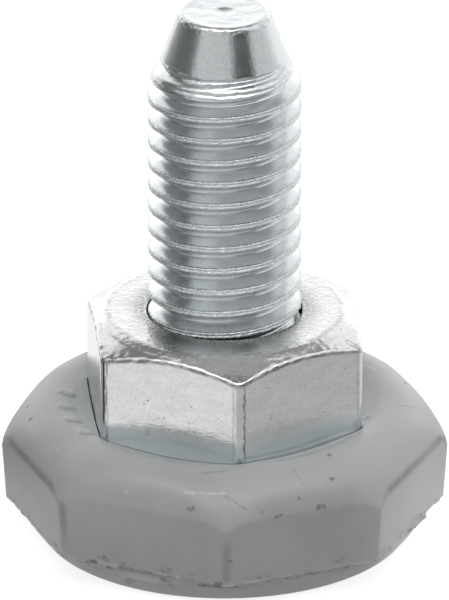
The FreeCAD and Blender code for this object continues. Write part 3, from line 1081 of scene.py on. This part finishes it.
def plastic_scuffs(tree, place):
    """How pale the scuffs, flecks and pale marks are."""
    fleck = specks(tree, place, 0.5, 0.02, 0.06, 57.0, 0.6)
    scuff = fac_noise(tree, stretched(tree, place, 0.35, 2.0, 3.0), 2.2, 3, 0.6)
    patch = remap(tree, fac_noise(tree, place, 0.4), 0.52, 0.62)
    scuff = times(tree, remap(tree, scuff, 0.66, 0.74), patch, 0.5)
    return times(tree, most(tree, fleck, scuff, strokes(tree, place, PALE_MARKS)), 0.5)


def plastic(name):
    """Grey moulded polymer: flow clouds, fine grain, painted light on the top and the right side, painted
    shade in the creases, dark lines down two corners, dirt, scuffs and specks.
    """
    material, tree, output, place = new_material(name)
    clouds = fac_noise(tree, place, 0.22, 4, 0.55)
    split = node(tree, "ShaderNodeSeparateXYZ", {0: place})
    height = split.outputs["Z"]
    colour = mix_colour(tree, remap(tree, clouds, 0.3, 0.7), PLASTIC_DARK, PLASTIC_LIGHT)
    # Painted light: the right side of the foot, towards +X, is made lighter.
    painted_right_light = plus(tree, split.outputs["X"], times(tree, clouds, 4.0))
    colour = mix_colour(tree, remap(tree, painted_right_light, 9.0, 14.5), colour, PLASTIC_LIT_RIGHT)
    # Painted light: the top of the foot, above 6.8 mm, is made lighter.
    painted_top_light = times(tree, remap(tree, height, 6.8, 8.4), remap(tree, clouds, 0.3, 0.6, 0.35, 0.75))
    colour = mix_colour(tree, painted_top_light, colour, PLASTIC_LIT_TOP)
    colour = mix_colour(tree, remap(tree, height, 1.7, 1.95, 0.75, 0.0), colour, PLASTIC_SKIRT)
    # Dirt, and the painted shade in the creases, darken the colour here.
    colour = mix_colour(tree, plastic_dirt_and_shade(tree, place, height, clouds), colour, PLASTIC_DIRT_AND_SHADE)
    colour = mix_colour(tree, plastic_scuffs(tree, place), colour, PLASTIC_SCUFF)
    polish = remap(tree, clouds, 0.3, 0.7, 0.33, 0.42)
    normal = bump(tree, fac_noise(tree, place, 5.0, 3), 0.006)
    normal = bump(tree, fac_noise(tree, place, 1.1, 2), 0.02, normal)
    surface(tree, output, colour, polish, normal)
    return material


# ---------------- studio

# The floor, in metres: half its width, and its drop below the foot
FLOOR_HALF = 3.0
FLOOR_DROP = 0.00002
PAPER_GREY = 0.42
PAPER_GLOW = 0.78
VIEW_ELEVATION = 24


def dim(tree, level, where, amount):
    """A level turned down by an amount where a mask says."""
    return times(tree, level, minus(tree, 1.0, times(tree, where, amount)))


def brighten(tree, level, where, amount):
    """A level turned up by an amount where a mask says."""
    return plus(tree, level, times(tree, where, amount))


def blend(tree, first, second, share):
    """From one level to another by a share."""
    return plus(tree, times(tree, first, minus(tree, 1.0, share)), times(tree, second, share))


def studio_world():
    """A white light tent with a big soft box above the camera and dark gaps low at both sides.

    Its levels are bands of azimuth, in degrees from the front, in zones of low, middle and high elevation.
    """
    world = bpy.data.worlds.new("studio")
    bpy.context.scene.world = world
    tree = empty_tree(world)
    direction = node(tree, "ShaderNodeTexCoord").outputs["Generated"]
    split = node(tree, "ShaderNodeSeparateXYZ", {0: direction})
    azimuth, _ = polar(tree, split)
    elevation = times(tree, maths(tree, "ARCSINE", split.outputs["Z"]), 360 / TURN)

    away = maths(tree, "ABSOLUTE", azimuth)
    low = plus(tree, 0.66, remap(tree, away, 108, 165, 0.0, 0.98))
    low = dim(tree, low, direction_band(tree, azimuth, -118, -60, 5), 0.82)
    low = dim(tree, low, direction_band(tree, azimuth, 16, 57, 4), 0.94)
    middle = plus(tree, 0.45, remap(tree, away, 112, 142, 0.0, 0.62))
    middle = brighten(tree, middle, direction_band(tree, azimuth, -92, -32, 10), 0.28)
    middle = brighten(tree, middle, direction_band(tree, azimuth, 60, 120, 10), 0.65)
    middle = dim(tree, middle, direction_band(tree, azimuth, -134, -92, 7), 0.7)
    high = brighten(tree, 0.32, direction_band(tree, azimuth, -62, 62, 14), 1.8)
    high = brighten(tree, high, direction_band(tree, azimuth, -112, 112, 14), 0.58)
    high = dim(tree, high, direction_band(tree, azimuth, -154, -102, 8), 0.3)
    level = blend(tree, low, middle, remap(tree, elevation, 17, 23))
    level = blend(tree, level, high, remap(tree, elevation, 42, 49))
    level = blend(tree, level, 0.4, remap(tree, elevation, 66, 74))
    seen = node(tree, "ShaderNodeLightPath").outputs["Is Camera Ray"]
    level = most(tree, level, times(tree, seen, 1.2))
    back = node(tree, "ShaderNodeBackground", {"Color": (1, 1, 1, 1), "Strength": level})
    output = node(tree, "ShaderNodeOutputWorld")
    tree.links.new(back.outputs["Background"], output.inputs["Surface"])


def floor():
    """A plain pale floor, clear from below. The camera sees paper.

    The part mirrors a pattern of light and shade in zones under, near and far from it, in metres.
    """
    corners = [(x * FLOOR_HALF, y * FLOOR_HALF, 0) for x, y in ((-1, -1), (1, -1), (1, 1), (-1, 1))]
    mesh = bpy.data.meshes.new("floor")
    mesh.from_pydata(corners, [], [(0, 1, 2, 3)])
    plane = bpy.data.objects.new("floor", mesh)
    bpy.context.scene.collection.objects.link(plane)
    plane.location.z = FOOT_LOW.z * MM - FLOOR_DROP
    material = bpy.data.materials.new("pale_floor")
    tree = empty_tree(material)
    place = node(tree, "ShaderNodeNewGeometry").outputs["Position"]
    azimuth, distance = polar(tree, node(tree, "ShaderNodeSeparateXYZ", {0: place}))
    under = 0.5
    near = dim(tree, 0.85, direction_band(tree, azimuth, -60, 60, 12), 0.5)
    near = brighten(tree, near, direction_band(tree, azimuth, 60, 120, 12), 0.2)
    middle = dim(tree, 1.0, direction_band(tree, azimuth, -18, 92, 14), 0.48)
    middle = dim(tree, middle, direction_band(tree, azimuth, -64, -22, 8), 0.13)
    middle = dim(tree, middle, direction_band(tree, azimuth, 92, 152, 12), 0.2)
    middle = dim(tree, middle, direction_band(tree, azimuth, -88, -62, 6), 0.95)
    middle = dim(tree, middle, direction_band(tree, azimuth, -120, -88, 8), 0.65)
    far = dim(tree, 1.1, direction_band(tree, azimuth, -135, 90, 12), 0.47)
    far = dim(tree, far, direction_band(tree, azimuth, -135, -45, 12), 0.52)
    far = dim(tree, far, direction_band(tree, azimuth, 45, 90, 10), 0.35)
    mirrored = blend(tree, near, middle, remap(tree, distance, 0.018, 0.022))
    mirrored = blend(tree, mirrored, far, remap(tree, distance, 0.05, 0.06))
    mirrored = blend(tree, under, mirrored, remap(tree, distance, 0.0115, 0.0125))
    glow = node(tree, "ShaderNodeEmission", {"Strength": mirrored})
    grey = (PAPER_GREY, PAPER_GREY, PAPER_GREY, 1)
    looks = {"Base Color": grey, "Roughness": 0.9, "Specular IOR Level": 0.0}
    looks |= {"Emission Color": (1, 1, 1, 1), "Emission Strength": PAPER_GLOW}
    paper = node(tree, "ShaderNodeBsdfPrincipled", looks)
    seen = node(tree, "ShaderNodeLightPath").outputs["Is Camera Ray"]
    mixed = node(tree, "ShaderNodeMixShader", {0: seen, 1: glow.outputs[0], 2: paper.outputs["BSDF"]})
    clear = node(tree, "ShaderNodeBsdfTransparent")
    from_below = node(tree, "ShaderNodeNewGeometry").outputs["Backfacing"]
    mixed = node(tree, "ShaderNodeMixShader", {0: from_below, 1: mixed.outputs[0], 2: clear.outputs[0]})
    output = node(tree, "ShaderNodeOutputMaterial")
    tree.links.new(mixed.outputs[0], output.inputs["Surface"])
    mesh.materials.append(material)


def camera():
    """A long lens looking down at the foot from the front."""
    elevation = math.radians(VIEW_ELEVATION)
    distance = 1.2
    frame_height = 38.46 * MM
    aim_share = 0.4385
    aim = Vector((0, 0, aim_share * STUD_HIGH.z * MM))
    back = Vector((0, -math.cos(elevation), math.sin(elevation)))
    data = bpy.data.cameras.new("camera")
    data.sensor_width = 36
    data.lens = data.sensor_width * distance / frame_height
    data.clip_end = 10
    seen_from = bpy.data.objects.new("camera", data)
    bpy.context.scene.collection.objects.link(seen_from)
    seen_from.location = aim + back * distance
    seen_from.rotation_mode = "QUATERNION"
    seen_from.rotation_quaternion = (-back).to_track_quat("-Z", "Y")
    bpy.context.scene.camera = seen_from


stud_piece(stud_zinc("stud_zinc_plate"))
nut_piece(nut_zinc("nut_zinc_plate"))
foot_piece(plastic("grey_polymer"))
studio_world()
floor()
camera()
bpy.context.scene.view_settings.view_transform = "Standard"
